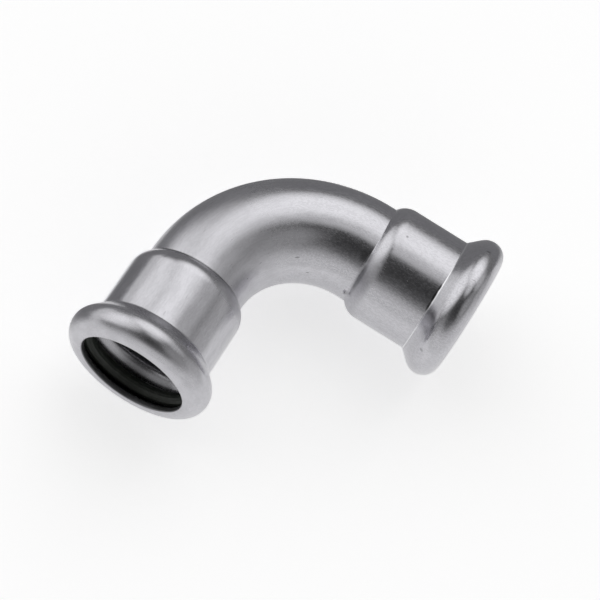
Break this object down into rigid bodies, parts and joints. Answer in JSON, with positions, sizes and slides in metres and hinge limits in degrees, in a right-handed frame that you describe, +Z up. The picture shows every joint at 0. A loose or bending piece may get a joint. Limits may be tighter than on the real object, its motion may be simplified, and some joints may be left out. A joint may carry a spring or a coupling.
{
  "type": "press-fit pipe elbow",
  "caption": "Right-angle press-fit pipe elbow in satin stainless steel: a short bend with plain sockets, each mouth rolled into a bead that holds a black sealing ring.",
  "frame": {"origin": "Middle of the fitting's footprint, on the surface that it lies on", "axes": "+Z up from that surface; the right leg points along +X and the left leg along -Y, each rising 8.7 degrees as the fitting rests on its two beads and the back of its bend"},
  "size_m": [0.0698, 0.0698, 0.0319],
  "materials": {
    "stainless": "satin, lightly brushed",
    "seal_rubber": "smooth moulded elastomer"
  },
  "bodies": {
    "root": {"elbow_body": "stainless", "left_seal_ring": "seal_rubber", "right_seal_ring": "seal_rubber"}
  },
  "joints": []
}
